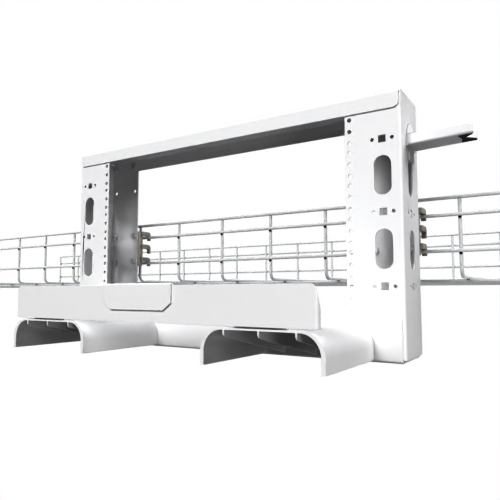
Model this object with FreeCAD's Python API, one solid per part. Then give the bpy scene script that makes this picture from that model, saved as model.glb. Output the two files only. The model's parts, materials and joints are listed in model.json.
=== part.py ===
"""Overhead cable pathway: a wire basket tray with a six-unit rack frame hooked on its side.

Millimetres, +Z up, +X along the tray, +Y from the front of the rack frame to the tray.
The origin is the middle of the rack opening, on the face that rack equipment bolts to.
"""
import FreeCAD, Part
import math
import os

Vector = FreeCAD.Vector

# Rack standard
RACK_UNIT = 44.45
RACK_UNITS = 6
RAIL_SPACING = 465.1
HOLE_STEPS = (6.35, 22.225, 38.1)
RACK_HOLE_R = 2.75
OPENING_HALF_HEIGHT = RACK_UNIT * RACK_UNITS / 2

# How far a cutter runs past the face that it cuts
OVER = 1.0

# Frame sheet metal
SHEET = 2.0
BEND = 4.0
FRAME_HALF_WIDTH = 301.5
FRAME_DEPTH = 80.0
OPENING_HALF_WIDTH = 226.0
BACK_FLANGE_INNER = 231.0
FACE_MIDDLE = 276.4
CAP_HALF_WIDTH = 299.3
CAP_BACK_HALF_WIDTH = 297.0
CAP_LIP = 23.3
CAP_CORNER = 8.0
APRON_HALF_WIDTH = 297.0
APRON_HEIGHT = 57.0
APRON_BACK_LIP = 23.0
APRON_CORNER = 6.0

# Accessory holes in the uprights
GROUP_PITCH = 95.25
SQUARE_HOLE = 9.5
PILOT_OFFSET = 13.0
PILOT_R = 2.3
CABLE_SLOT_W = 22.5
CABLE_SLOT_H = 51.0

# Beads pressed into the cap's back lip
BEAD_FIRST_X = -161.9
BEAD_PITCH = 124.8
BEAD_COUNT = 4
BEAD_LENGTH = 53.0
BEAD_HEIGHT = 5.0
BEAD_DEPTH = 1.0
BEAD_Z = 141.0

# Fasteners
BOLT_R = 2.9
BOLT_HOLE_R = 3.2
BOLT_FLATS = 10.0
BOLT_HEAD = 4.0
NUT_FLATS = 10.0
NUT_HEIGHT = 5.0
NUT_BORE_R = 3.0
SCREW_R = 2.1
SCREW_HOLE_R = 2.3
SCREW_HEAD_R = 3.4
SCREW_HEAD = 2.4
SCREW_OVERRUN = 4.0
BOLT_OVERRUN = 1.0

# Hook brackets
BRACKET_X = 264.25
BRACKET_SHEET = 3.0
BRACKET_BEND = 5.0
BRACKET_HALF_WIDTH = 36.0
BRACKET_LEG_Y = 91.0
BRACKET_BOLT_X = 25.4
BRACKET_BOLT_ZS = (7.0, -43.0)
SPARE_HOLE_Z = 94.6
HOOK_PITCH = 25.0
HOOK_COUNT = 3
HOOK_THICKNESS = 7.0
HOOK_INSET = 2.5
HOOK_ARCH = 8.0
THROAT = 6.0
FINGER = 3.5
FINGER_DROP = 5.5
HOOK_CORNER = 7.0
HOOK_CLEARANCE = 0.3

# Wire tray
WIRE_R = 2.5
TRAY_FRONT_Y = 107.0
TRAY_WIDTH = 500.0
TRAY_BEND = 12.0
TRAY_TOP_Z = 28.85
RAIL_WIRE_Z = 4.15
RAIL_WIRE_STEP = 50.0
RAIL_WIRE_COUNT = 2
FLOOR_WIRE_Z = -86.35
FLOOR_WIRE_STEP = 50.0
RIB_PITCH = 100.0
RIB_FIRST_X = -1150.0
RIB_COUNT = 18
WIRE_OVERHANG = 3.0

# Trough in front of the apron
WALL_Y = -155.0
WALL_HALF_WIDTH = 254.0
WALL_TOP_Z = -92.85
WALL_BOTTOM_Z = -140.35
WALL_RETURN = 8.0
WALL_CORNER = 10.0
RETURN_DROP = 11.7
RETURN_SLOPE = 2.65
SADDLE_X = 181.7
SADDLE_HALF_WIDTH = 79.5
SADDLE_TOP_Z = -142.35
SADDLE_WALL = 5.0
SADDLE_ROOF = 2.4
SADDLE_BEND = 27.0
SADDLE_FRONT_DROP = 44.3
SADDLE_BACK_DROP = 45.5
RIB_XS = (-46.5, 0.0, 46.5)
GUSSET_WALL = 2.4
GUSSET_FRONT = 7.6
GUSSET_BACK = 41.2
GUSSET_CORNER = 4.0
TAB_HALF_WIDTH = 34.0
TAB_HEIGHT = 22.0
TAB_CORNER = 5.0
RELIEF_DEPTH = 3.0
RELIEF_HEIGHT = 3.0
TAB_SCREW_X = 22.0
BACK_SCREW_X = 23.0
BACK_SCREW_DROP = 14.0

# Bare plate hung on the trough wall
PLATE_X = 0.0
PLATE_HALF_WIDTH = 58.75
PLATE_SHEET = 2.0
PLATE_BEND = 2.2
PLATE_CORNER = 2.0
PLATE_DROP = 32.0
PLATE_CHAMFER = 13.0
PLATE_CHAMFER_RISE = 9.5
PLATE_BACK_LIP = 10.0
LOOSE_GAP = 0.3

# Side arm
ARM_SHEET = 2.5
ARM_BEND = 3.5
ARM_Y = 40.0
ARM_HALF_WIDTH = 19.0
ARM_TIP_X = 382.0
ARM_TOP_Z = 102.6
ARM_ROOT_H = 15.5
ARM_TIP_H = 12.0
ARM_EAR_Z = 120.0
ARM_FOOT_Z = 68.5
FOOT_HALF_WIDTH = 10.0
FOOT_CORNER = 2.0
SHOULDER_DROP = 6.0
SHOULDER_CORNER = 3.0
FOOT_TAB_X = 296.0
NOTCH_DEPTH = 13.5
TIP_LENGTH = 18.0
TIP_POINT = 2.5

CAP_TOP_Z = OPENING_HALF_HEIGHT + CAP_LIP
APRON_BOTTOM_Z = -OPENING_HALF_HEIGHT - APRON_HEIGHT
FRAME_BOLT_XS = (240.0, 289.0)
CAP_BOLT_Z = OPENING_HALF_HEIGHT + CAP_LIP / 2
APRON_BOLT_Z = APRON_BOTTOM_Z + APRON_BACK_LIP / 2


def box(x0, x1, y0, y1, z0, z1):
    return Part.makeBox(x1 - x0, y1 - y0, z1 - z0, Vector(x0, y0, z0))


def rod(radius, start, end):
    axis = Vector(*end) - Vector(*start)
    return Part.makeCylinder(radius, axis.Length, Vector(*start), axis)


def hexagon(flats, height, start, axis):
    """Hexagonal prism with one corner up, for bolt heads and nuts."""
    across = flats / math.sqrt(3)
    side = Vector(1, 0, 0)
    up = Vector(0, 0, 1)
    turns = [math.radians(60 * i) for i in range(7)]
    points = [Vector(*start) + side * (across * math.sin(t)) + up * (across * math.cos(t)) for t in turns]
    return Part.Face(Part.makePolygon(points)).extrude(Vector(*axis) * height)


def outline(corners, place):
    """Closed face from (a, b, radius) corners; place turns (a, b) into a point in space."""
    points = [Vector(a, b, 0) for a, b, _ in corners]
    count = len(points)
    runs = []
    for i, (_, _, radius) in enumerate(corners):
        back = (points[i - 1] - points[i]).normalize()
        ahead = (points[(i + 1) % count] - points[i]).normalize()
        half = back.getAngle(ahead) / 2
        reach = radius / math.tan(half)
        start = points[i] + back * reach
        end = points[i] + ahead * reach
        middle = points[i] + (back + ahead).normalize() * (radius / math.sin(half) - radius)
        runs.append((start, middle, end, radius))
    edges = []
    for i, (start, middle, end, radius) in enumerate(runs):
        if radius > 0:
            edges.append(Part.Arc(place(start), place(middle), place(end)).toShape())
        following = runs[(i + 1) % count][0]
        if end.distanceToPoint(following) > 1e-6:
            edges.append(Part.LineSegment(place(end), place(following)).toShape())
    return Part.Face(Part.Wire(edges))


def at_z(z):
    return lambda p: Vector(p.x, p.y, z)


def at_x(x):
    return lambda p: Vector(x, p.x, p.y)


def at_y(y):
    return lambda p: Vector(p.x, y, p.y)


def folded(path, sheet, bend):
    """Corner list of a folded sheet: the outer path, turning left, and its inner side back again."""
    points = [Vector(a, b, 0) for a, b in path]
    inner = []
    for i, point in enumerate(points):
        normals = []
        for j in (i - 1, i):
            if 0 <= j < len(points) - 1:
                run = (points[j + 1] - points[j]).normalize()
                normals.append(Vector(-run.y, run.x, 0))
        total = normals[0] + normals[-1]
        inner.append(point + total * (2 * sheet / total.dot(total)))
    last = len(points) - 1
    outer_corners = [(p.x, p.y, bend if 0 < i < last else 0) for i, p in enumerate(points)]
    inner_corners = [(p.x, p.y, bend - sheet if 0 < i < last else 0) for i, p in enumerate(inner)]
    return outer_corners + inner_corners[::-1]


def drill_y(shape, radius, places, y0, y1):
    """Round holes along Y at (x, z) places."""
    holes = [rod(radius, (x, y0, z), (x, y1, z)) for x, z in places]
    return shape.cut(Part.makeCompound(holes))


def mirror_x(shape):
    return shape.mirror(Vector(0, 0, 0), Vector(1, 0, 0))


def group_heights():
    return [step * GROUP_PITCH for step in (-1, 0, 1)]


def slot_heights():
    return [step * GROUP_PITCH for step in (-0.5, 0.5)]


def rack_hole_heights():
    return [-OPENING_HALF_HEIGHT + u * RACK_UNIT + s for u in range(RACK_UNITS) for s in HOLE_STEPS]


def oblong(middle, width, height, place, depth):
    """Cutter of a slot with fully round ends."""
    radius = min(width, height) / 2
    sides = ((-0.5, -0.5), (0.5, -0.5), (0.5, 0.5), (-0.5, 0.5))
    corners = [(middle[0] + a * width, middle[1] + b * height, radius) for a, b in sides]
    return outline(corners, place).extrude(depth)


def right_upright():
    """C-section post: front face with rack holes, outer panel and back flange.

    The panel stands higher than the rest, so that the cap sits between the panels of both posts.
    """
    path = [
        (OPENING_HALF_WIDTH, 0),
        (FRAME_HALF_WIDTH, 0),
        (FRAME_HALF_WIDTH, FRAME_DEPTH),
        (BACK_FLANGE_INNER, FRAME_DEPTH),
    ]
    bottom = APRON_BOTTOM_Z + BEND
    post = outline(folded(path, SHEET, BEND), at_z(bottom)).extrude(Vector(0, 0, CAP_TOP_Z - bottom))
    panel_x = FRAME_HALF_WIDTH - SHEET
    post = post.cut(
        box(OPENING_HALF_WIDTH - OVER, panel_x, -OVER, FRAME_DEPTH + OVER, CAP_TOP_Z - BEND, CAP_TOP_Z + OVER)
    )
    rack_places = [(RAIL_SPACING / 2, z) for z in rack_hole_heights()]
    post = drill_y(post, RACK_HOLE_R, rack_places, -OVER, SHEET + OVER)
    half = SQUARE_HOLE / 2
    side_x = panel_x - OVER
    past_x = FRAME_HALF_WIDTH + OVER
    side_y = FRAME_DEPTH / 2
    cutters = []
    for z in group_heights():
        cutters.append(box(FACE_MIDDLE - half, FACE_MIDDLE + half, -OVER, SHEET + OVER, z - half, z + half))
        cutters.append(box(side_x, past_x, side_y - half, side_y + half, z - half, z + half))
        for offset in (-PILOT_OFFSET, PILOT_OFFSET):
            face_x = FACE_MIDDLE + offset
            cutters.append(rod(PILOT_R, (face_x, -OVER, z), (face_x, SHEET + OVER, z)))
            cutters.append(rod(PILOT_R, (side_x, side_y + offset, z), (past_x, side_y + offset, z)))
    depth = SHEET + 2 * OVER
    slot = (CABLE_SLOT_W, CABLE_SLOT_H)
    for z in slot_heights():
        cutters.append(oblong((FACE_MIDDLE, z), *slot, at_y(-OVER), Vector(0, depth, 0)))
        cutters.append(oblong((side_y, z), *slot, at_x(side_x), Vector(depth, 0, 0)))
    post = post.cut(Part.makeCompound(cutters))
    bracket_xs = [BRACKET_X - BRACKET_BOLT_X, BRACKET_X + BRACKET_BOLT_X]
    places = [(x, z) for x in bracket_xs for z in BRACKET_BOLT_ZS + (SPARE_HOLE_Z,)]
    places += [(x, z) for x in FRAME_BOLT_XS for z in (CAP_BOLT_Z, APRON_BOLT_Z)]
    return drill_y(post, BOLT_HOLE_R, places, FRAME_DEPTH - SHEET - OVER, FRAME_DEPTH + OVER)


def channel_bolt_places(z):
    return [(side * x, z) for side in (-1, 1) for x in FRAME_BOLT_XS]


def top_cap():
    """Inverted channel between the posts' panels, with round-cornered lips and beads in its back lip."""
    back_y = FRAME_DEPTH - SHEET
    path = [
        (back_y, OPENING_HALF_HEIGHT),
        (back_y, CAP_TOP_Z),
        (-SHEET, CAP_TOP_Z),
        (-SHEET, OPENING_HALF_HEIGHT),
    ]
    section = outline(folded(path, SHEET, BEND), at_x(-CAP_HALF_WIDTH))
    cap = section.extrude(Vector(2 * CAP_HALF_WIDTH, 0, 0))
    lip_face = [
        (-CAP_HALF_WIDTH, OPENING_HALF_HEIGHT, CAP_CORNER),
        (CAP_HALF_WIDTH, OPENING_HALF_HEIGHT, CAP_CORNER),
        (CAP_HALF_WIDTH, CAP_TOP_Z, 0),
        (-CAP_HALF_WIDTH, CAP_TOP_Z, 0),
    ]
    through = Vector(0, FRAME_DEPTH + 4 * SHEET, 0)
    cap = cap.common(outline(lip_face, at_y(-2 * SHEET)).extrude(through))
    lip_y = back_y - SHEET
    end = box(
        CAP_BACK_HALF_WIDTH, CAP_HALF_WIDTH + OVER, lip_y - BEND, back_y + OVER,
        OPENING_HALF_HEIGHT - OVER, CAP_TOP_Z + OVER,
    )
    depth = Vector(0, OVER + BEAD_DEPTH, 0)
    xs = [BEAD_FIRST_X + i * BEAD_PITCH for i in range(BEAD_COUNT)]
    beads = [oblong((x, BEAD_Z), BEAD_LENGTH, BEAD_HEIGHT, at_y(lip_y - OVER), depth) for x in xs]
    cap = cap.cut(Part.makeCompound(beads + [end, mirror_x(end)]))
    places = channel_bolt_places(CAP_BOLT_Z)
    return drill_y(cap, BOLT_HOLE_R, places, lip_y - OVER, back_y + OVER)


def bottom_apron():
    """Channel under both posts: a tall front face, a floor and a low back lip."""
    top = -OPENING_HALF_HEIGHT
    back_top = APRON_BOTTOM_Z + APRON_BACK_LIP
    path = [
        (-SHEET, top),
        (-SHEET, APRON_BOTTOM_Z),
        (FRAME_DEPTH + SHEET, APRON_BOTTOM_Z),
        (FRAME_DEPTH + SHEET, back_top),
    ]
    section = outline(folded(path, SHEET, BEND), at_x(-APRON_HALF_WIDTH))
    apron = section.extrude(Vector(2 * APRON_HALF_WIDTH, 0, 0))
    front_face = [
        (-APRON_HALF_WIDTH, APRON_BOTTOM_Z, 0),
        (APRON_HALF_WIDTH, APRON_BOTTOM_Z, 0),
        (APRON_HALF_WIDTH, top, APRON_CORNER),
        (-APRON_HALF_WIDTH, top, APRON_CORNER),
    ]
    through = Vector(0, FRAME_DEPTH + 4 * SHEET, 0)
    apron = apron.common(outline(front_face, at_y(-2 * SHEET)).extrude(through))
    places = channel_bolt_places(APRON_BOLT_Z)
    apron = drill_y(apron, BOLT_HOLE_R, places, FRAME_DEPTH - OVER, FRAME_DEPTH + SHEET + OVER)
    screw_places = back_screw_places(-SADDLE_X) + back_screw_places(SADDLE_X)
    return drill_y(apron, SCREW_HOLE_R, screw_places, -SHEET - OVER, OVER)


def bolts(places, inside_y, length):
    """Hex bolts, heads inside the posts, shanks pointing back."""
    made = []
    for x, z in places:
        head = hexagon(BOLT_FLATS, BOLT_HEAD, (x, inside_y - BOLT_HEAD, z), (0, 1, 0))
        made.append(head.fuse(rod(BOLT_R, (x, inside_y, z), (x, inside_y + length, z))).removeSplitter())
    return Part.makeCompound(made)


def nuts(places, face_y):
    made = []
    for x, z in places:
        nut = hexagon(NUT_FLATS, NUT_HEIGHT, (x, face_y, z), (0, 1, 0))
        made.append(nut.cut(rod(NUT_BORE_R, (x, face_y - OVER, z), (x, face_y + NUT_HEIGHT + OVER, z))))
    return Part.makeCompound(made)


def screw(start, axis, length):
    """Pan-head screw: head behind start, shank ahead of it."""
    along = Vector(*axis)
    begin = Vector(*start)
    head = Part.makeCylinder(SCREW_HEAD_R, SCREW_HEAD, begin - along * SCREW_HEAD, along)
    shank = Part.makeCylinder(SCREW_R, length, begin, along)
    return head.fuse(shank).removeSplitter()


def bracket_bolt_places(middle_x):
    return [(middle_x + dx, z) for dx in (-BRACKET_BOLT_X, BRACKET_BOLT_X) for z in BRACKET_BOLT_ZS]


def hook_bracket(middle_x):
    """Angle plate bolted to the back flange, with three thick hooks on its narrow leg for the tray wires."""
    rail_y = TRAY_FRONT_Y - 2 * WIRE_R
    throat_back = rail_y + THROAT / 2
    outer_x = middle_x + BRACKET_HALF_WIDTH
    first_roof_z = RAIL_WIRE_Z + WIRE_R + HOOK_CLEARANCE
    roofs = [first_roof_z - i * HOOK_PITCH for i in range(HOOK_COUNT)]
    top = roofs[0] + HOOK_ARCH
    bottom = roofs[-1] - THROAT / 2 - FINGER_DROP
    path = [
        (middle_x - BRACKET_HALF_WIDTH, FRAME_DEPTH),
        (outer_x, FRAME_DEPTH),
        (outer_x, BRACKET_LEG_Y),
    ]
    section = folded(path, BRACKET_SHEET, BRACKET_BEND)
    bracket = outline(section, at_z(bottom)).extrude(Vector(0, 0, top - bottom))
    hook_x = outer_x - HOOK_INSET
    depth = Vector(HOOK_THICKNESS, 0, 0)
    root_y = FRAME_DEPTH + BRACKET_BEND
    for roof_z in roofs:
        tip_z = roof_z - THROAT / 2 - FINGER_DROP
        hook = [
            (root_y, roof_z, 0),
            (throat_back, roof_z, THROAT / 2),
            (throat_back, tip_z, 0),
            (throat_back + FINGER, tip_z, 0),
            (throat_back + FINGER, roof_z + HOOK_ARCH, HOOK_CORNER),
            (root_y, roof_z + HOOK_ARCH, 0),
        ]
        bracket = bracket.fuse(outline(hook, at_x(hook_x)).extrude(depth))
    bracket = bracket.removeSplitter()
    places = bracket_bolt_places(middle_x)
    return drill_y(bracket, BOLT_HOLE_R, places, FRAME_DEPTH - OVER, FRAME_DEPTH + BRACKET_SHEET + OVER)


def back_screw_places(middle_x):
    z = SADDLE_TOP_Z - BACK_SCREW_DROP
    return [(middle_x - BACK_SCREW_X, z), (middle_x + BACK_SCREW_X, z)]


def tab_screw_places(middle_x):
    z = WALL_BOTTOM_Z + TAB_HEIGHT / 2
    return [(middle_x - TAB_SCREW_X, z), (middle_x + TAB_SCREW_X, z)]


def waterfall(middle_x):
    """Moulded saddle: rolled-over sides that cables fall across, a back web, a front tab and gussets."""
    top = SADDLE_TOP_Z
    left = middle_x - SADDLE_HALF_WIDTH
    right = middle_x + SADDLE_HALF_WIDTH
    front_y = WALL_Y + SHEET
    back_y = -SHEET
    bottom = top - SADDLE_BACK_DROP
    under = top - SADDLE_ROOF
    inner_bend = SADDLE_BEND - SADDLE_ROOF
    hood = [(right, bottom, 0), (right, top, SADDLE_BEND), (left, top, SADDLE_BEND), (left, bottom, 0)]
    hollow = [
        (right - SADDLE_WALL, bottom - OVER, 0),
        (right - SADDLE_WALL, under, inner_bend),
        (left + SADDLE_WALL, under, inner_bend),
        (left + SADDLE_WALL, bottom - OVER, 0),
    ]
    depth = back_y - front_y
    saddle = outline(hood, at_y(front_y)).extrude(Vector(0, depth, 0))
    inside = outline(hollow, at_y(front_y - OVER)).extrude(Vector(0, depth + OVER - SADDLE_WALL, 0))
    saddle = saddle.cut(inside)
    tab = [
        (middle_x - TAB_HALF_WIDTH, top - OVER, 0),
        (middle_x + TAB_HALF_WIDTH, top - OVER, 0),
        (middle_x + TAB_HALF_WIDTH, top + TAB_HEIGHT, TAB_CORNER),
        (middle_x - TAB_HALF_WIDTH, top + TAB_HEIGHT, TAB_CORNER),
    ]
    saddle = saddle.fuse(outline(tab, at_y(front_y)).extrude(Vector(0, SADDLE_WALL, 0)))
    relief = box(
        middle_x - TAB_HALF_WIDTH - OVER, middle_x + TAB_HALF_WIDTH + OVER,
        front_y - OVER, front_y + RELIEF_DEPTH, top, top + RELIEF_HEIGHT,
    )
    saddle = saddle.cut(relief)
    for dx in RIB_XS:
        gusset = [
            (front_y, under + OVER, 0),
            (front_y, under - GUSSET_FRONT, GUSSET_CORNER),
            (back_y - OVER, under - GUSSET_BACK, 0),
            (back_y - OVER, under + OVER, 0),
        ]
        x = middle_x + dx - GUSSET_WALL / 2
        saddle = saddle.fuse(outline(gusset, at_x(x)).extrude(Vector(GUSSET_WALL, 0, 0)))
    rise = [
        (front_y - OVER, bottom - OVER, 0),
        (back_y + OVER, bottom - OVER, 0),
        (back_y + OVER, bottom, 0),
        (front_y - OVER, top - SADDLE_FRONT_DROP, 0),
    ]
    saddle = saddle.cut(outline(rise, at_x(left - OVER)).extrude(Vector(right - left + 2 * OVER, 0, 0)))
    saddle = saddle.removeSplitter()
    places = back_screw_places(middle_x)
    saddle = drill_y(saddle, SCREW_HOLE_R, places, back_y - SADDLE_WALL - OVER, back_y + OVER)
    places = tab_screw_places(middle_x)
    return drill_y(saddle, SCREW_HOLE_R, places, front_y - OVER, front_y + SADDLE_WALL + OVER)


def trough_wall():
    """Folded sheet that keeps cables in the trough, with slanted returns at its ends and round top corners."""
    front_y = WALL_Y
    back_y = WALL_Y + WALL_RETURN
    path = [
        (-WALL_HALF_WIDTH, back_y),
        (-WALL_HALF_WIDTH, front_y),
        (WALL_HALF_WIDTH, front_y),
        (WALL_HALF_WIDTH, back_y),
    ]
    height = WALL_TOP_Z - WALL_BOTTOM_Z
    wall = outline(folded(path, SHEET, BEND), at_z(WALL_BOTTOM_Z)).extrude(Vector(0, 0, height))
    face = [
        (-WALL_HALF_WIDTH, WALL_BOTTOM_Z, 0),
        (WALL_HALF_WIDTH, WALL_BOTTOM_Z, 0),
        (WALL_HALF_WIDTH, WALL_TOP_Z, WALL_CORNER),
        (-WALL_HALF_WIDTH, WALL_TOP_Z, WALL_CORNER),
    ]
    wall = wall.common(outline(face, at_y(front_y - OVER)).extrude(Vector(0, WALL_RETURN + 2 * OVER, 0)))
    inner_y = front_y + SHEET
    past_y = back_y + OVER
    high_z = WALL_TOP_Z - RETURN_DROP
    slant = [
        (inner_y, high_z, 0),
        (past_y, high_z - RETURN_SLOPE * (past_y - inner_y), 0),
        (past_y, WALL_TOP_Z + OVER, 0),
        (inner_y, WALL_TOP_Z + OVER, 0),
    ]
    start_x = -WALL_HALF_WIDTH - OVER
    return wall.cut(outline(slant, at_x(start_x)).extrude(Vector(-2 * start_x, 0, 0)))


def bare_plate():
    """Plain plate hung over the trough wall by its folded top, lower corners cut off."""
    inside_front = WALL_Y - LOOSE_GAP
    inside_back = WALL_Y + SHEET + LOOSE_GAP
    inside_top = WALL_TOP_Z + LOOSE_GAP
    front = inside_front - PLATE_SHEET
    back = inside_back + PLATE_SHEET
    top = inside_top + PLATE_SHEET
    bottom = WALL_TOP_Z - PLATE_DROP
    path = [(back, WALL_TOP_Z - PLATE_BACK_LIP), (back, top), (front, top), (front, bottom)]
    left = PLATE_X - PLATE_HALF_WIDTH
    right = PLATE_X + PLATE_HALF_WIDTH
    section = outline(folded(path, PLATE_SHEET, PLATE_BEND), at_x(left))
    plate = section.extrude(Vector(right - left, 0, 0))
    face = [
        (left, top, 0),
        (left, bottom + PLATE_CHAMFER_RISE, PLATE_CORNER),
        (left + PLATE_CHAMFER, bottom, PLATE_CORNER),
        (right - PLATE_CHAMFER, bottom, PLATE_CORNER),
        (right, bottom + PLATE_CHAMFER_RISE, PLATE_CORNER),
        (right, top, 0),
    ]
    return plate.common(outline(face, at_y(front - OVER)).extrude(Vector(0, back - front + 2 * OVER, 0)))


def arm_tip(point_x):
    """Room between the arm's flanges, from a pointed line to the tip of the arm."""
    near = ARM_Y - ARM_HALF_WIDTH + ARM_SHEET
    far = ARM_Y + ARM_HALF_WIDTH - ARM_SHEET
    back_x = ARM_TIP_X - TIP_LENGTH
    room = [
        (back_x, near, 0),
        (point_x, near, 0),
        (point_x, far, 0),
        (back_x, far, 0),
        (back_x + TIP_POINT, ARM_Y, 0),
    ]
    low = ARM_TOP_Z - ARM_ROOT_H
    return outline(room, at_z(low - OVER)).extrude(Vector(0, 0, ARM_ROOT_H + 2 * OVER))


def side_arm():
    """Cantilever arm: a screwed ear, a foot that hooks into the slot below, and a channel with a rising base."""
    face_x = FRAME_HALF_WIDTH
    root_x = face_x + ARM_SHEET
    near = ARM_Y - ARM_HALF_WIDTH
    far = ARM_Y + ARM_HALF_WIDTH
    low = ARM_TOP_Z - ARM_ROOT_H
    ear = [
        (near, low, 0),
        (ARM_Y - FOOT_HALF_WIDTH, low - SHOULDER_DROP, SHOULDER_CORNER),
        (ARM_Y - FOOT_HALF_WIDTH, ARM_FOOT_Z, FOOT_CORNER),
        (ARM_Y + FOOT_HALF_WIDTH, ARM_FOOT_Z, FOOT_CORNER),
        (ARM_Y + FOOT_HALF_WIDTH, low - SHOULDER_DROP, SHOULDER_CORNER),
        (far, low, 0),
        (far, ARM_EAR_Z, ARM_HALF_WIDTH),
        (near, ARM_EAR_Z, ARM_HALF_WIDTH),
    ]
    arm = outline(ear, at_x(face_x)).extrude(Vector(ARM_SHEET, 0, 0))
    reach = ARM_TIP_X - face_x
    tilt = math.degrees(math.atan2(ARM_ROOT_H - ARM_TIP_H, reach))
    brim = ARM_TOP_Z + OVER
    path = [(near, brim), (near, low), (far, low), (far, brim)]
    section = outline(folded(path, ARM_SHEET, ARM_BEND), at_x(face_x - OVER))
    channel = section.extrude(Vector(reach + 3 * OVER, 0, 0))
    channel.rotate(Vector(face_x, 0, low), Vector(0, 1, 0), -tilt)
    channel = channel.common(box(face_x, ARM_TIP_X, near - OVER, far + OVER, low - OVER, ARM_TOP_Z))
    channel = channel.cut(arm_tip(ARM_TIP_X + OVER))
    foot_tab = box(
        FOOT_TAB_X, root_x, ARM_Y - FOOT_HALF_WIDTH / 2, ARM_Y + FOOT_HALF_WIDTH / 2,
        ARM_FOOT_Z, ARM_FOOT_Z + ARM_SHEET,
    )
    arm = arm.fuse([channel, foot_tab]).removeSplitter()
    inner_x = face_x - OVER
    outer_x = root_x + OVER
    ys = arm_screw_ys()
    holes = [rod(SCREW_HOLE_R, (inner_x, y, GROUP_PITCH), (outer_x, y, GROUP_PITCH)) for y in ys]
    return arm.cut(Part.makeCompound(holes))


def arm_screw_ys():
    return [FRAME_DEPTH / 2 - PILOT_OFFSET, FRAME_DEPTH / 2 + PILOT_OFFSET]


def arm_end_pad():
    """Notched plate that closes the base of the arm at its tip."""
    near = ARM_Y - ARM_HALF_WIDTH + ARM_SHEET
    far = ARM_Y + ARM_HALF_WIDTH - ARM_SHEET
    low = ARM_TOP_Z - ARM_ROOT_H
    high = ARM_TOP_Z - ARM_TIP_H
    slab = [
        (FRAME_HALF_WIDTH, low, 0),
        (ARM_TIP_X, high, 0),
        (ARM_TIP_X, high + ARM_SHEET, 0),
        (FRAME_HALF_WIDTH, low + ARM_SHEET, 0),
    ]
    plate = outline(slab, at_y(near)).extrude(Vector(0, far - near, 0)).common(arm_tip(ARM_TIP_X))
    notch = [
        (ARM_TIP_X + OVER, near, 0),
        (ARM_TIP_X + OVER, far, 0),
        (ARM_TIP_X - NOTCH_DEPTH, ARM_Y, 0),
    ]
    return plate.cut(outline(notch, at_z(low - OVER)).extrude(Vector(0, 0, ARM_ROOT_H)))


def rib_xs():
    return [RIB_FIRST_X + i * RIB_PITCH for i in range(RIB_COUNT)]


def tray_wire(y, z):
    """One straight wire along the tray."""
    return rod(WIRE_R, (rib_xs()[0] - WIRE_OVERHANG, y, z), (rib_xs()[-1] + WIRE_OVERHANG, y, z))


def rib_floor_z():
    return FLOOR_WIRE_Z + 2 * WIRE_R


def side_ribs(wall_y, inward):
    """Upright wires of one tray side, each with the bend that turns it into the floor."""
    top = TRAY_TOP_Z - WIRE_R
    knee_z = rib_floor_z() + TRAY_BEND
    made = []
    for x in rib_xs():
        knee = Vector(x, wall_y, knee_z)
        section = Part.Face(Part.Wire(Part.makeCircle(WIRE_R, knee, Vector(0, 0, 1))))
        upright = section.extrude(Vector(0, 0, top - knee_z))
        bend_centre = Vector(x, wall_y + inward * TRAY_BEND, knee_z)
        bend = section.revolve(bend_centre, Vector(inward, 0, 0), 90)
        made.append(upright.fuse(bend))
    return Part.makeCompound(made)


def floor_ribs():
    """Cross wires of the tray floor, between the bends of the two sides."""
    y0 = TRAY_FRONT_Y + TRAY_BEND
    y1 = TRAY_FRONT_Y + TRAY_WIDTH - TRAY_BEND
    z = rib_floor_z()
    return Part.makeCompound([rod(WIRE_R, (x, y0, z), (x, y1, z)) for x in rib_xs()])


def floor_wires():
    count = int(TRAY_WIDTH / FLOOR_WIRE_STEP)
    ys = [TRAY_FRONT_Y + i * FLOOR_WIRE_STEP for i in range(1, count)]
    return Part.makeCompound([tray_wire(y, FLOOR_WIRE_Z) for y in ys])


def rail_wires(wall_y, outward):
    """Two long wires welded to the outside of one tray side."""
    y = wall_y + outward * 2 * WIRE_R
    heights = [RAIL_WIRE_Z - i * RAIL_WIRE_STEP for i in range(RAIL_WIRE_COUNT)]
    return Part.makeCompound([tray_wire(y, z) for z in heights])


def export(name, shape):
    shape.exportStep(os.path.join("parts", name + ".step"))


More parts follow.
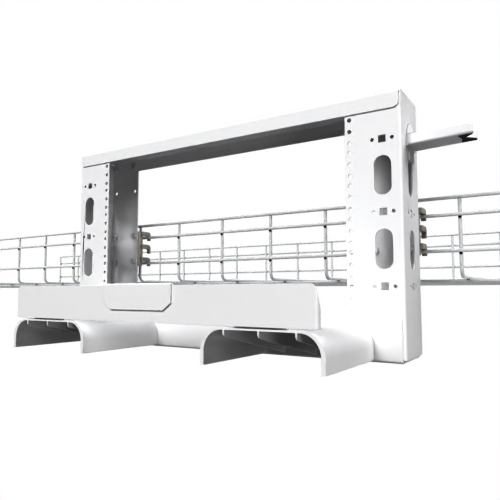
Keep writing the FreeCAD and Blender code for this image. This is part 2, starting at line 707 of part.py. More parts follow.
def build():
    os.makedirs("parts", exist_ok=True)
    upright = right_upright()
    export("right_upright", upright)
    export("left_upright", mirror_x(upright))
    export("top_cap", top_cap())
    export("bottom_apron", bottom_apron())

    inside_y = FRAME_DEPTH - SHEET
    channel_reach = 2 * SHEET + NUT_HEIGHT + BOLT_OVERRUN
    cap_places = channel_bolt_places(CAP_BOLT_Z)
    export("cap_bolts", bolts(cap_places, inside_y - SHEET, channel_reach))
    export("cap_nuts", nuts(cap_places, FRAME_DEPTH))
    apron_places = channel_bolt_places(APRON_BOLT_Z)
    export("apron_bolts", bolts(apron_places, inside_y, channel_reach))
    export("apron_nuts", nuts(apron_places, FRAME_DEPTH + SHEET))

    for side, sign in (("left", -1), ("right", 1)):
        middle = sign * BRACKET_X
        places = bracket_bolt_places(middle)
        export(side + "_hook_bracket", hook_bracket(middle))
        reach = SHEET + BRACKET_SHEET + NUT_HEIGHT + BOLT_OVERRUN
        export(side + "_hook_bolts", bolts(places, inside_y, reach))
        export(side + "_hook_nuts", nuts(places, FRAME_DEPTH + BRACKET_SHEET))

        saddle_x = sign * SADDLE_X
        export(side + "_waterfall", waterfall(saddle_x))
        web_y = -SHEET - SADDLE_WALL
        reach = SADDLE_WALL + SHEET + SCREW_OVERRUN
        screws = [screw((x, web_y, z), (0, 1, 0), reach) for x, z in back_screw_places(saddle_x)]
        export(side + "_waterfall_screws", Part.makeCompound(screws))

    export("trough_wall", trough_wall())
    tab_back_y = WALL_Y + SHEET + SADDLE_WALL
    places = tab_screw_places(-SADDLE_X) + tab_screw_places(SADDLE_X)
    wall_screws = [screw((x, tab_back_y, z), (0, -1, 0), SADDLE_WALL) for x, z in places]
    export("trough_wall_screws", Part.makeCompound(wall_screws))
    export("bare_plate", bare_plate())

    export("side_arm", side_arm())
    arm_x = FRAME_HALF_WIDTH + ARM_SHEET
    reach = ARM_SHEET + SHEET + SCREW_OVERRUN
    arm_screws = [screw((arm_x, y, GROUP_PITCH), (-1, 0, 0), reach) for y in arm_screw_ys()]
    export("side_arm_screws", Part.makeCompound(arm_screws))
    export("arm_end_pad", arm_end_pad())

    tray_back_y = TRAY_FRONT_Y + TRAY_WIDTH
    export("tray_front_top_wire", tray_wire(TRAY_FRONT_Y, TRAY_TOP_Z))
    export("tray_back_top_wire", tray_wire(tray_back_y, TRAY_TOP_Z))
    export("tray_front_rail_wires", rail_wires(TRAY_FRONT_Y, -1))
    export("tray_back_rail_wires", rail_wires(tray_back_y, 1))
    export("tray_front_ribs", side_ribs(TRAY_FRONT_Y, 1))
    export("tray_back_ribs", side_ribs(tray_back_y, -1))
    export("tray_floor_ribs", floor_ribs())
    export("tray_floor_wires", floor_wires())


build()
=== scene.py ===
"""Looks of the overhead cable pathway: a wire basket tray with a rack frame hooked on its side.

Metres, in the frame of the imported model: +X along the tray, +Y from the rack frame to the tray, +Z up.
"""
import json
import math

import bpy
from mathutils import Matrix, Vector

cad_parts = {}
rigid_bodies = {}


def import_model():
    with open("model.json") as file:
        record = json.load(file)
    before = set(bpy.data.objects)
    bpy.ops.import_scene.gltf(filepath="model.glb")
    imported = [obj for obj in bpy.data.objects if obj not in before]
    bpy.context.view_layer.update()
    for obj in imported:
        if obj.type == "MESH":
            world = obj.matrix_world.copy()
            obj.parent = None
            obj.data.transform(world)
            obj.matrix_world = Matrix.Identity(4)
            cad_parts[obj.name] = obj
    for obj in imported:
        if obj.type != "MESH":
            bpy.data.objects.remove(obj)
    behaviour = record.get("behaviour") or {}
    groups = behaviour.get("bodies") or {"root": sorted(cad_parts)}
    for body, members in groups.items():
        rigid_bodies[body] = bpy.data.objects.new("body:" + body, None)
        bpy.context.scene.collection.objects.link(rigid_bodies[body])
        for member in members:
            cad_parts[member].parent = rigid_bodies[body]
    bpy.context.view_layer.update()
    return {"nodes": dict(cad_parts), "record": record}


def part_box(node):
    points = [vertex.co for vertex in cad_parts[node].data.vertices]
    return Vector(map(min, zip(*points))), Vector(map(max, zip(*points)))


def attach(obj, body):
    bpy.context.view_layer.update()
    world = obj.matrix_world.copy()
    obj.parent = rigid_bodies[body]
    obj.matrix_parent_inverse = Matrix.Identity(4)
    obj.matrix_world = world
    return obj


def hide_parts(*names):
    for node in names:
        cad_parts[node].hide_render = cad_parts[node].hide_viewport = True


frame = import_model()
MM = 0.001
QUARTER = math.radians(90)

# Camera, fitted to the rack holes of the photograph; angles in degrees
IMAGE_PX = 500
FOCAL_PX = 504.9
SENSOR_MM = 36.0
CAMERA_PLACE = (0.4704, -0.6306, -0.10065)
CAMERA_YAW = 32.05
CAMERA_RISE = 4.64
CAMERA_ROLL = 0.09
CAMERA_NEAR = 0.01

# Floor, backdrop and print
FLOOR_Z = -3.5
FLOOR_SIZE = 60.0
FLOOR_BOUNCE = 0.15
FLOOR_GLEAM = 0.9
SKY_STRENGTH = 0.1
SKY_GLEAM = 1.1
SKY_FADE_LOW = -0.1
SKY_FADE_HIGH = 0.4
SKY_BELOW = 0.02
PRINT_GAMMA = 0.5

# Softboxes: place, aim, size and watts
SOFTBOXES = {
    "front_softbox": ((-3.0, -11.4, 8.0), (0, 0, 0), 6.0, 1880),
    "fill_softbox": ((3.0, -6.0, 4.4), (0, 0, 0), 3.0, 150),
    "side_softbox": ((3.2, 0.3, 1.5), (0.3, 0, 0), 1.2, 66),
    "low_softbox": ((2.6, -1.2, -0.55), (0, -0.1, -0.17), 0.8, 13),
    "under_softbox": ((0.1, 0.04, -3.0), (0.1, 0.04, 0), 0.4, 8),
    "back_softbox": ((-0.8, 5.5, 4.6), (0, 0, 0), 1.5, 230),
    "left_softbox": ((-5.0, 1.5, 2.5), (-0.3, 0, 0), 1.0, 60),
}

# Darker and lighter tone of each finish
WHITE = ((0.84, 0.84, 0.845), (0.88, 0.88, 0.885))
PLATE_WHITE = ((0.85, 0.85, 0.855), (0.88, 0.88, 0.885))
WIRE_ZINC = ((0.60, 0.605, 0.61), (0.69, 0.695, 0.70))
# Near-black painted shade on the weld nuggets, standing in for the shadow a rail casts on the rib just
# below each crossing
NUGGET_PAINTED_SHADE = (0.06, 0.06, 0.062)
HOOK_PLATING = ((0.42, 0.40, 0.375), (0.53, 0.505, 0.475))
FASTENER_ZINC = ((0.62, 0.63, 0.64), (0.76, 0.77, 0.78))
# Near-black painted shade for the plate at the side arm's tip
TIP_SHADE_BLACK = ((0.012, 0.012, 0.012), (0.024, 0.024, 0.025))
PAINT_SHINE = 0.05
BUMP_DEPTH = 0.05 * MM
FINE_NOISE = {"Detail": 3.0, "Roughness": 0.55}
SLOW_NOISE = {"Detail": 4.0, "Roughness": 0.6}

# Rounding of edges; angles in degrees
SHEET_EDGE = 0.3 * MM
PLATE_EDGE = 0.5 * MM
HOOK_EDGE = 0.8 * MM
HOOK_STEPS = 3
MOULD_EDGE = 0.8 * MM
MOULD_STEPS = 3
MOULD_LIP = 1.1 * MM
LIP_STEPS = 4
EDGE_STEPS = 2
EDGE_ANGLE = 40
SMOOTH_ANGLE = 35
FLAT_ANGLE = 0.5
NORMAL_WEIGHT = 90
MERGE = 0.001 * MM
NEAR = 0.01 * MM

# Sheet metal of the rack frame
SHEETS = ("left_upright", "right_upright", "top_cap", "bottom_apron", "trough_wall", "side_arm")

# Tray wires
LONG_WIRES = (
    "tray_front_top_wire", "tray_back_top_wire", "tray_front_rail_wires", "tray_back_rail_wires",
    "tray_floor_wires",
)
RIB_COUNT = 18
WIRE_SIDES = 16
WIRE_SMOOTH = 50
BEND_STEPS = 7
WIRE_END = 0.8 * MM
WIRE_END_STEPS = 3
WIRE_END_ANGLE = 60
NUGGET_R = 2.2 * MM
NUGGET_SIDES = 8
NUGGET_RINGS = 5
NUGGET_FLAT = 0.6
NUGGET_ROUGHNESS = 0.25 * MM
# The rail welds sit this far below the rail's middle, where the rail's shadow falls on the rib
NUGGET_DROP = 3.2 * MM
# Name of the mark on the weld nuggets that paints them near-black as shade
SHADE_MARK_NAME = "painted_shade_mark"

# Fasteners
BOLT_FLATS = 10.0 * MM
BOLT_HEAD = 4.0 * MM
BOLT_R = 2.9 * MM
NUT_BORE_R = 3.0 * MM
SHANK_END = 0.5 * MM
HEX_FACE = 0.95
HEX_CHAMFER = math.radians(30)
HEX_OVER = 1.0 * MM
SCREW_HEAD_R = 3.4 * MM
SCREW_HEAD = 2.4 * MM
SCREW_CROWN = 1.3 * MM
CROWN_STEPS = 4
SCREW_R = 2.1 * MM
RECESS_LENGTH = 3.9 * MM
RECESS_WIDTH = 0.9 * MM
RECESS_DEPTH = 1.3 * MM
ROUND_SIDES = 24


# Handling of pieces

def only(piece):
    """Makes one object the selected and active one."""
    bpy.ops.object.select_all(action="DESELECT")
    piece.select_set(True)
    bpy.context.view_layer.objects.active = piece


def edit_all(piece):
    """Opens a piece in edit mode with all of it selected."""
    only(piece)
    bpy.ops.object.mode_set(mode="EDIT")
    bpy.ops.mesh.select_all(action="SELECT")


def edit_where(piece, test):
    """Opens a piece in edit mode with the corners selected whose place passes a test."""
    only(piece)
    bpy.ops.object.mode_set(mode="EDIT")
    bpy.ops.mesh.select_mode(type="VERT")
    bpy.ops.mesh.select_all(action="DESELECT")
    bpy.ops.object.mode_set(mode="OBJECT")
    for corner in piece.data.vertices:
        corner.select = test(corner.co)
    bpy.ops.object.mode_set(mode="EDIT")


def leave_edit():
    """Goes back to object mode."""
    bpy.ops.object.mode_set(mode="OBJECT")


def settled():
    """The new primitive, with its place and turn put into its mesh."""
    bpy.ops.object.transform_apply(location=True, rotation=True, scale=True)
    return bpy.context.active_object


def apply_modifier(piece, kind, **settings):
    """Adds a modifier with its settings and applies it."""
    only(piece)
    modifier = piece.modifiers.new(kind.lower(), kind)
    for name, value in settings.items():
        setattr(modifier, name, value)
    bpy.ops.object.modifier_apply(modifier=modifier.name)


def round_edges(piece, width, segments=EDGE_STEPS, angle=EDGE_ANGLE):
    """Rounds all edges that are sharper than an angle."""
    apply_modifier(
        piece, "BEVEL", width=width, segments=segments, limit_method="ANGLE",
        angle_limit=math.radians(angle), use_clamp_overlap=False,
    )


def combine(piece, tool, operation):
    """Joins, cuts or overlaps two solids and removes the tool."""
    apply_modifier(piece, "BOOLEAN", object=tool, operation=operation, solver="EXACT")
    bpy.data.objects.remove(tool)


def smooth(piece, angle=SMOOTH_ANGLE):
    """Smooth shading that keeps flat faces flat and sharp edges sharp."""
    only(piece)
    bpy.ops.object.shade_smooth_by_angle(angle=math.radians(angle))
    apply_modifier(piece, "WEIGHTED_NORMAL", weight=NORMAL_WEIGHT, keep_sharp=True)


def joined(pieces, name):
    """All pieces joined into the first one, under a new name."""
    bpy.ops.object.select_all(action="DESELECT")
    for piece in pieces:
        piece.select_set(True)
    bpy.context.view_layer.objects.active = pieces[0]
    bpy.ops.object.join()
    pieces[0].name = name
    return pieces[0]


def scattered(pattern, name, places):
    """Copies of a small piece at all places, each with its own mesh, joined; the pattern is removed."""
    copies = []
    for place in places:
        copy = bpy.data.objects.new(name, pattern.data.copy())
        bpy.context.scene.collection.objects.link(copy)
        only(copy)
        copy.location = place
        bpy.ops.object.transform_apply(location=True, rotation=False, scale=False)
        copies.append(copy)
    bpy.data.objects.remove(pattern)
    return joined(copies, name)


def turned(piece, degrees):
    """Turns a piece about the Z axis through the origin."""
    only(piece)
    piece.rotation_euler = (0, 0, math.radians(degrees))
    bpy.ops.object.transform_apply(location=False, rotation=True, scale=False)
    return piece


def dress(piece, body, slot, *nodes):
    """Gives a finished piece its material, its body and the nodes that it stands for."""
    piece.data.materials.clear()
    piece.data.materials.append(FINISHES[slot])
    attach(piece, body)
    if nodes:
        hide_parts(*nodes)


def node_copy(node, name):
    """A copy of a node with its loose triangles merged."""
    piece = bpy.data.objects.new(name, frame["nodes"][node].data.copy())
    bpy.context.scene.collection.objects.link(piece)
    edit_all(piece)
    bpy.ops.mesh.remove_doubles(threshold=MERGE)
    leave_edit()
    return piece


def flat_copy(node, name):
    """A copy of a node with its flat faces joined."""
    piece = node_copy(node, name)
    edit_all(piece)
    bpy.ops.mesh.dissolve_limited(angle_limit=math.radians(FLAT_ANGLE))
    leave_edit()
    return piece


def softened(node, name, edge, segments=EDGE_STEPS):
    """A copy of a node with joined flat faces and rounded edges."""
    piece = flat_copy(node, name)
    round_edges(piece, edge, segments)
    smooth(piece)
    return piece


def solids_of(node):
    """Lowest and highest corner of every solid in a node."""
    whole = node_copy(node, "solid")
    edit_all(whole)
    bpy.ops.mesh.separate(type="LOOSE")
    leave_edit()
    found = []
    for part in [o for o in bpy.data.objects if o.name.startswith("solid")]:
        points = [corner.co for corner in part.data.vertices]
        low = Vector([min(p[i] for p in points) for i in range(3)])
        high = Vector([max(p[i] for p in points) for i in range(3)])
        found.append((low, high))
        bpy.data.objects.remove(part)
    return found


def middle(low, high):
    """Middle of a box."""
    return (low + high) / 2


# Finishes

def link(tree, output, target):
    """Joins two sockets."""
    tree.links.new(output, target)


def new_node(tree, kind, **values):
    """A node with values for its inputs or its own settings."""
    node = tree.nodes.new(kind)
    for name, value in values.items():
        if name in node.inputs:
            node.inputs[name].default_value = value
        else:
            setattr(node, name, value)
    return node


def shader_group(name, inputs, outputs):
    """An empty shader group with its sockets."""
    group = bpy.data.node_groups.new(name, "ShaderNodeTree")
    for label in inputs:
        group.interface.new_socket(label, in_out="INPUT", socket_type="NodeSocketFloat")
    for label in outputs:
        group.interface.new_socket(label, in_out="OUTPUT", socket_type="NodeSocketFloat")
    return group, group.nodes.new("NodeGroupInput"), group.nodes.new("NodeGroupOutput")


def make_grain_group():
    """Fine bumps of a coat or a moulding, with a slow drift of tone under them."""
    group, given, made = shader_group("coat_grain", ("Grain", "Drift"), ("Height", "Tone"))
    place = group.nodes.new("ShaderNodeTexCoord")
    for noise, scale, result in ((FINE_NOISE, "Grain", "Height"), (SLOW_NOISE, "Drift", "Tone")):
        texture = new_node(group, "ShaderNodeTexNoise", **noise)
        link(group, place.outputs["Object"], texture.inputs["Vector"])
        link(group, given.outputs[scale], texture.inputs["Scale"])
        link(group, texture.outputs["Fac"], made.inputs[result])
    return group


def towards(tree, factor, other):
    """A mix into another tone by a factor over the surface; the caller sets its first tone."""
    mix = new_node(tree, "ShaderNodeMix", data_type="RGBA")
    mix.inputs["B"].default_value = (*other, 1)
    link(tree, factor, mix.inputs["Factor"])
    return mix


def ranged(tree, value, low, high):
    """A value from 0 to 1 spread between two limits."""
    spread = tree.nodes.new("ShaderNodeMapRange")
    spread.inputs["To Min"].default_value = low
    spread.inputs["To Max"].default_value = high
    link(tree, value, spread.inputs["Value"])
    return spread.outputs["Result"]


def finish(name, tones, rough, grain, drift, bump, metallic=0.0, shine=0.5, shade_tone=None):
    """A coated, plated or moulded finish: two close tones, uneven gloss, fine bumps, and near-black painted
    shade on the weld nuggets.
    """
    material = bpy.data.materials.new(name)
    material.use_nodes = True
    tree = material.node_tree
    shader = tree.nodes["Principled BSDF"]
    shader.inputs["Metallic"].default_value = metallic
    shader.inputs["Specular IOR Level"].default_value = shine
    coat = new_node(tree, "ShaderNodeGroup", node_tree=GRAIN)
    coat.inputs["Grain"].default_value = grain
    coat.inputs["Drift"].default_value = drift
    tone = towards(tree, coat.outputs["Tone"], tones[1])
    tone.inputs["A"].default_value = (*tones[0], 1)
    # Painted shade: the marked weld nuggets turn near-black
    if shade_tone:
        marks = new_node(tree, "ShaderNodeAttribute", attribute_name=SHADE_MARK_NAME)
        shaded_welds = towards(tree, marks.outputs["Fac"], shade_tone)
        link(tree, tone.outputs["Result"], shaded_welds.inputs["A"])
        tone = shaded_welds
    link(tree, tone.outputs["Result"], shader.inputs["Base Color"])
    link(tree, ranged(tree, coat.outputs["Tone"], *rough), shader.inputs["Roughness"])
    dents = new_node(tree, "ShaderNodeBump", Strength=bump, Distance=BUMP_DEPTH)
    link(tree, coat.outputs["Height"], dents.inputs["Height"])
    link(tree, dents.outputs["Normal"], shader.inputs["Normal"])
    return material


GRAIN = make_grain_group()
FINISHES = {
    "frame_paint": finish(
        "white_powder_coat", WHITE, rough=(0.52, 0.62), grain=900, drift=7, bump=0.25, shine=PAINT_SHINE),
    "moulding": finish(
        "white_moulding", WHITE, rough=(0.46, 0.56), grain=1500, drift=12, bump=0.12, shine=PAINT_SHINE),
    "plate_finish": finish(
        "white_plate_paint", PLATE_WHITE, rough=(0.42, 0.52), grain=1100, drift=20, bump=0.1,
        shine=PAINT_SHINE),
    # The wire finish paints its weld nuggets near-black as shade
    "tray_wire": finish(
        "zinc_wire", WIRE_ZINC, rough=(0.82, 0.92), grain=700, drift=60, bump=0.3, metallic=1.0,
        shade_tone=NUGGET_PAINTED_SHADE),
    "hook_steel": finish(
        "plated_hook", HOOK_PLATING, rough=(0.42, 0.62), grain=600, drift=90, bump=0.4, metallic=0.3),
    "fastener_zinc": finish(
        "zinc_fastener", FASTENER_ZINC, rough=(0.34, 0.48), grain=900, drift=150, bump=0.2, metallic=0.6),
    # The arm's tip plate is near-black painted shade, for the shadow inside the tip
    "pad_rubber": finish(
        "tip_shade_black", TIP_SHADE_BLACK, rough=(0.6, 0.75), grain=1300, drift=40, bump=0.5),
}


def coat_nodes():
    """Every node starts with its finish; pieces made later stand for all of them."""
    for row in frame["record"]["subparts"]:
        node = frame["nodes"][row["node"]]
        node.data.materials.clear()
        node.data.materials.append(FINISHES[row["material_slot"]])


# Rack frame

def make_sheet_metal():
    """Folded sheets with slightly rounded edges, and the plate on the trough wall."""
    for node in SHEETS:
        dress(softened(node, node + "_sheet", SHEET_EDGE), "rack_frame", "frame_paint", node)
    dress(softened("bare_plate", "bare_plate_sheet", PLATE_EDGE), "plate", "plate_finish", "bare_plate")


def make_brackets():
    """Plated brackets with rounded hooks."""
    for side in ("left", "right"):
        node = side + "_hook_bracket"
        bracket = softened(node, node + "_plated", HOOK_EDGE, HOOK_STEPS)
        dress(bracket, "rack_frame", "hook_steel", node)


def make_saddle(side):
    """Moulded saddle: the lip and the gussets' fronts rounded most, every other edge a little."""
    node = side + "_waterfall"
    front_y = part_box(node)[0].y
    saddle = flat_copy(node, node + "_moulded")
    edit_where(saddle, lambda place: place.y < front_y + NEAR)
    bpy.ops.mesh.bevel(offset=MOULD_LIP, segments=LIP_STEPS, affect="EDGES", clamp_overlap=True)
    leave_edit()
    round_edges(saddle, MOULD_EDGE, MOULD_STEPS)
    smooth(saddle)
    dress(saddle, "rack_frame", "moulding", node)


def make_pad():
    """Near-black plate at the tip of the side arm: painted shade standing in for the dark inside of the
    arm's tip.
    """
    pad = softened("arm_end_pad", "arm_end_pad_block", PLATE_EDGE)
    dress(pad, "rack_frame", "pad_rubber", "arm_end_pad")


# Fasteners, modelled along Y with their seats at the origin

def rod_along_y(sides, radius, start, end):
    """Plain rod between two places on the Y axis."""
    bpy.ops.mesh.primitive_cylinder_add(
        vertices=sides, radius=radius, depth=end - start,
        location=(0, (start + end) / 2, 0), rotation=(QUARTER, 0, 0),
    )
    return settled()


def hex_block(height):
    """Hexagon in front of the origin, its outer face chamfered in the round."""
    block = rod_along_y(6, BOLT_FLATS / math.sqrt(3), -height, 0)
    face_r = HEX_FACE * BOLT_FLATS / 2
    reach = height + HEX_OVER
    bpy.ops.mesh.primitive_cone_add(
        vertices=2 * ROUND_SIDES, radius1=face_r + reach / math.tan(HEX_CHAMFER), radius2=face_r,
        depth=reach, location=(0, reach / 2 - height, 0), rotation=(QUARTER, 0, 0),
    )
    combine(block, settled(), "INTERSECT")
    return block


def make_bolt(length):
    """Hexagon bolt with a plain shank."""
    bolt = hex_block(BOLT_HEAD)
    shank = rod_along_y(ROUND_SIDES, BOLT_R, -BOLT_HEAD / 2, length)
    round_edges(shank, SHANK_END)
    combine(bolt, shank, "UNION")
    smooth(bolt)
    return bolt


def make_nut(height):
    """Hexagon nut with its chamfered face to the back."""
    nut = hex_block(height)
    combine(nut, rod_along_y(ROUND_SIDES, NUT_BORE_R, -2 * height, height), "DIFFERENCE")
    smooth(nut)
    return turned(nut, 180)


def make_screw(length):
    """Pan-head screw: a crowned head with a cross recess, and a plain shank."""
    screw = rod_along_y(ROUND_SIDES, SCREW_HEAD_R, -SCREW_HEAD, 0)
    edit_where(screw, lambda place: place.y < -SCREW_HEAD + NEAR)
    bpy.ops.mesh.bevel(offset=SCREW_CROWN, segments=CROWN_STEPS, affect="EDGES")
    leave_edit()
    for across, up in ((RECESS_LENGTH, RECESS_WIDTH), (RECESS_WIDTH, RECESS_LENGTH)):
        bpy.ops.mesh.primitive_cube_add(
            size=1, location=(0, -SCREW_HEAD, 0), scale=(across, 2 * RECESS_DEPTH, up))
        combine(screw, settled(), "DIFFERENCE")
    shank = rod_along_y(ROUND_SIDES, SCREW_R, -SCREW_HEAD / 3, length)
    round_edges(shank, SHANK_END)
    combine(screw, shank, "UNION")
    smooth(screw)
    return screw


def make_bolts(node):
    """All bolts of a node, with their heads to the front."""
    solids = solids_of(node)
    low, high = solids[0]
    bolt = make_bolt(high.y - low.y - BOLT_HEAD)
    places = [(middle(a, b).x, a.y + BOLT_HEAD, middle(a, b).z) for a, b in solids]
    dress(scattered(bolt, node + "_turned", places), "rack_frame", "fastener_zinc", node)


def make_nuts(node):
    """All nuts of a node."""
    solids = solids_of(node)
    low, high = solids[0]
    nut = make_nut(high.y - low.y)
    places = [(middle(a, b).x, a.y, middle(a, b).z) for a, b in solids]
    dress(scattered(nut, node + "_pressed", places), "rack_frame", "fastener_zinc", node)


def make_screws(node, turn, seat):
    """Screws of a node, turned about Z; seat gives the place of the head's underside."""
    solids = solids_of(node)
    low, high = solids[0]
    screw = make_screw(max(high.x - low.x, high.y - low.y) - SCREW_HEAD)
    places = [seat(a, b) for a, b in solids]
    dress(scattered(turned(screw, turn), node + "_headed", places), "rack_frame", "fastener_zinc", node)


def facing_front(low, high):
    """Seat of a screw whose head faces -Y."""
    return (middle(low, high).x, low.y + SCREW_HEAD, middle(low, high).z)


def facing_back(low, high):
    """Seat of a screw whose head faces +Y."""
    return (middle(low, high).x, high.y - SCREW_HEAD, middle(low, high).z)


def facing_right(low, high):
    """Seat of a screw whose head faces +X."""
    return (high.x - SCREW_HEAD, middle(low, high).y, middle(low, high).z)


def make_fasteners():
    """Bolts, nuts and screws of the rack frame."""
    for node in ("cap_bolts", "apron_bolts", "left_hook_bolts", "right_hook_bolts"):
        make_bolts(node)
    for node in ("cap_nuts", "apron_nuts", "left_hook_nuts", "right_hook_nuts"):
        make_nuts(node)
    make_screws("left_waterfall_screws", 0, facing_front)
    make_screws("right_waterfall_screws", 0, facing_front)
    make_screws("trough_wall_screws", 180, facing_back)
    make_screws("side_arm_screws", 90, facing_right)


# Wire tray

def make_long_wires():
    """Straight wires with rounded ends, one pattern copied to every place."""
    for node in LONG_WIRES:
        solids = solids_of(node)
        low, high = solids[0]
        bpy.ops.mesh.primitive_cylinder_add(
            vertices=WIRE_SIDES, radius=(high.z - low.z) / 2, depth=high.x - low.x,
            rotation=(0, QUARTER, 0),
        )
        wire = settled()
        round_edges(wire, WIRE_END, WIRE_END_STEPS, WIRE_END_ANGLE)
        smooth(wire, WIRE_SMOOTH)
        wires = scattered(wire, node + "_drawn", [middle(a, b) for a, b in solids])
        dress(wires, "tray", "tray_wire", node)


def push(offset):
    """Draws the open end of a rib straight on."""
    bpy.ops.mesh.extrude_region_move(TRANSFORM_OT_translate={"value": offset})


def swing(centre):
    """Spins the open end of a rib by a quarter about the X axis, towards the tray's inside or up."""
    bpy.ops.mesh.spin(steps=BEND_STEPS, angle=-QUARTER, center=centre, axis=(1, 0, 0))


def make_nugget(place, flat):
    """Uneven blob of weld metal between two wires, marked for near-black painted shade."""
    bpy.ops.mesh.primitive_uv_sphere_add(
        segments=NUGGET_SIDES, ring_count=NUGGET_RINGS, radius=NUGGET_R, location=place, scale=flat)
    nugget = settled()
    edit_all(nugget)
    bpy.ops.transform.vertex_random(offset=NUGGET_ROUGHNESS, uniform=1.0, seed=len(bpy.data.objects))
    leave_edit()
    mark = nugget.data.attributes.new(SHADE_MARK_NAME, "FLOAT", "POINT")
    mark.data.foreach_set("value", [1.0] * len(nugget.data.vertices))
    return nugget


def make_ribs():
    """Bent cross wires with their welds: one rib drawn from a circle, then repeated along the tray."""
    front_low, front_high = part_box("tray_front_ribs")
    back_low, back_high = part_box("tray_back_ribs")
    floor_low, floor_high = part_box("tray_floor_ribs")
    radius = (floor_high.z - floor_low.z) / 2
    x = front_low.x + radius
    front_y = front_low.y + radius
    back_y = back_high.y - radius
    floor_z = floor_low.z + radius
    bend = floor_low.y - front_y
    knee_z = floor_z + bend
    bpy.ops.mesh.primitive_circle_add(
        vertices=WIRE_SIDES, radius=radius, location=(x, front_y, front_high.z))
    rib = settled()
    edit_all(rib)
    push((0, 0, knee_z - front_high.z))
    swing((x, front_y + bend, knee_z))
    push((0, floor_high.y - floor_low.y, 0))
    swing((x, back_y - bend, knee_z))
    push((0, 0, back_high.z - knee_z))
    bpy.ops.mesh.select_all(action="SELECT")
    bpy.ops.mesh.fill_holes(sides=0)
    bpy.ops.mesh.normals_make_consistent(inside=False)
    leave_edit()

    on_side = (1, NUGGET_FLAT, 1)
    lying = (1, 1, NUGGET_FLAT)
    welds = [make_nugget((x, y, front_high.z), lying) for y in (front_y, back_y)]
    # Rail welds sit just below each crossing, where the rail shades the rib; their near-black tone is
    # painted shade
    for node, y in (("tray_front_rail_wires", front_y - radius), ("tray_back_rail_wires", back_y + radius)):
        welds += [make_nugget((x, y, middle(a, b).z - NUGGET_DROP), on_side) for a, b in solids_of(node)]
    floor_wires = solids_of("tray_floor_wires")
    welds += [make_nugget((x, middle(a, b).y, floor_low.z), lying) for a, b in floor_wires]
    ribs = joined([rib] + welds, "tray_ribs_welded")

    pitch = (front_high.x - front_low.x - 2 * radius) / (RIB_COUNT - 1)
    apply_modifier(
        ribs, "ARRAY", count=RIB_COUNT, use_relative_offset=False, use_constant_offset=True,
        constant_offset_displace=(pitch, 0, 0),
    )
    smooth(ribs, WIRE_SMOOTH)
    dress(ribs, "tray", "tray_wire", "tray_front_ribs", "tray_back_ribs", "tray_floor_ribs")


# Studio

def make_camera():
    """Camera at the photograph's place and angle."""
    data = bpy.data.cameras.new("photo_view")
    data.sensor_width = SENSOR_MM
    data.lens = SENSOR_MM * FOCAL_PX / IMAGE_PX
    data.clip_start = CAMERA_NEAR
    camera = bpy.data.objects.new("photo_view", data)
    camera.location = CAMERA_PLACE
    turn = (90 + CAMERA_RISE, CAMERA_ROLL, CAMERA_YAW)
    camera.rotation_euler = [math.radians(angle) for angle in turn]
    bpy.context.scene.collection.objects.link(camera)
    bpy.context.scene.camera = camera


def by_ray(tree, seen, gleam, felt):
    """One shader for the camera's rays, one for reflections and one for all other light."""
    ray = tree.nodes.new("ShaderNodeLightPath")
    soft = tree.nodes.new("ShaderNodeMixShader")
    mix = tree.nodes.new("ShaderNodeMixShader")
    link(tree, ray.outputs["Is Glossy Ray"], soft.inputs["Fac"])
    link(tree, felt, soft.inputs[1])
    link(tree, gleam, soft.inputs[2])
    link(tree, ray.outputs["Is Camera Ray"], mix.inputs["Fac"])
    link(tree, soft.outputs["Shader"], mix.inputs[1])
    link(tree, seen, mix.inputs[2])
    return mix.outputs["Shader"]


def make_floor():
    """Plain pale floor: white to the eye, bright in reflections, with little light for the undersides."""
    bpy.ops.mesh.primitive_plane_add(size=FLOOR_SIZE, location=(0, 0, FLOOR_Z))
    floor = bpy.context.active_object
    floor.name = "floor"
    material = bpy.data.materials.new("pale_floor")
    material.use_nodes = True
    tree = material.node_tree
    tree.nodes.remove(tree.nodes["Principled BSDF"])
    seen = new_node(tree, "ShaderNodeEmission", Strength=1.0)
    gleam = new_node(tree, "ShaderNodeEmission", Strength=FLOOR_GLEAM)
    felt = new_node(tree, "ShaderNodeBsdfDiffuse", Color=(FLOOR_BOUNCE, FLOOR_BOUNCE, FLOOR_BOUNCE, 1))
    surface = by_ray(tree, seen.outputs["Emission"], gleam.outputs["Emission"], felt.outputs["BSDF"])
    link(tree, surface, tree.nodes["Material Output"].inputs["Surface"])
    floor.data.materials.append(material)


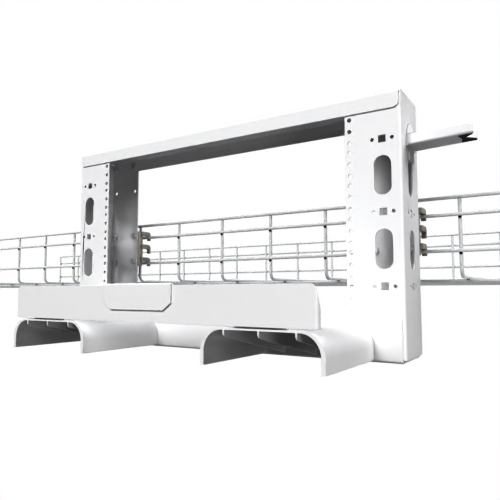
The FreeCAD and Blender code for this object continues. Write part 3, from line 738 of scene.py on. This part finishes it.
def make_world():
    """White backdrop, bright in reflections; its own light falls from above and fades below the horizon."""
    world = bpy.data.worlds.new("studio")
    bpy.context.scene.world = world
    world.use_nodes = True
    tree = world.node_tree
    seen = tree.nodes["Background"]
    seen.inputs["Color"].default_value = (1, 1, 1, 1)
    gleam = new_node(tree, "ShaderNodeBackground", Strength=SKY_GLEAM)
    felt = new_node(tree, "ShaderNodeBackground", Strength=SKY_STRENGTH)
    place = tree.nodes.new("ShaderNodeTexCoord")
    split = tree.nodes.new("ShaderNodeSeparateXYZ")
    rise = new_node(tree, "ShaderNodeMapRange", interpolation_type="SMOOTHSTEP")
    rise.inputs["From Min"].default_value = SKY_FADE_LOW
    rise.inputs["From Max"].default_value = SKY_FADE_HIGH
    rise.inputs["To Min"].default_value = SKY_BELOW
    link(tree, place.outputs["Generated"], split.inputs["Vector"])
    link(tree, split.outputs["Z"], rise.inputs["Value"])
    link(tree, rise.outputs["Result"], felt.inputs["Color"])
    surface = by_ray(
        tree, seen.outputs["Background"], gleam.outputs["Background"], felt.outputs["Background"])
    link(tree, surface, tree.nodes["World Output"].inputs["Surface"])


def make_softbox(name, place, aim, size, watts):
    """Square lamp that the camera doesn't see, turned to what it lights."""
    data = bpy.data.lights.new(name, "AREA")
    data.shape = "SQUARE"
    data.size = size
    data.energy = watts
    lamp = bpy.data.objects.new(name, data)
    lamp.location = place
    lamp.visible_camera = False
    lamp.rotation_euler = (Vector(aim) - Vector(place)).to_track_quat("-Z", "Y").to_euler()
    bpy.context.scene.collection.objects.link(lamp)


def make_studio():
    """Camera, floor, backdrop and lamps, and a contrasty print like the photograph's."""
    make_camera()
    make_floor()
    make_world()
    for name, setting in SOFTBOXES.items():
        make_softbox(name, *setting)
    view = bpy.context.scene.view_settings
    view.view_transform = "Standard"
    view.gamma = PRINT_GAMMA


bpy.ops.object.select_all(action="DESELECT")
make_studio()
coat_nodes()
make_sheet_metal()
make_brackets()
make_saddle("left")
make_saddle("right")
make_pad()
make_fasteners()
make_long_wires()
make_ribs()
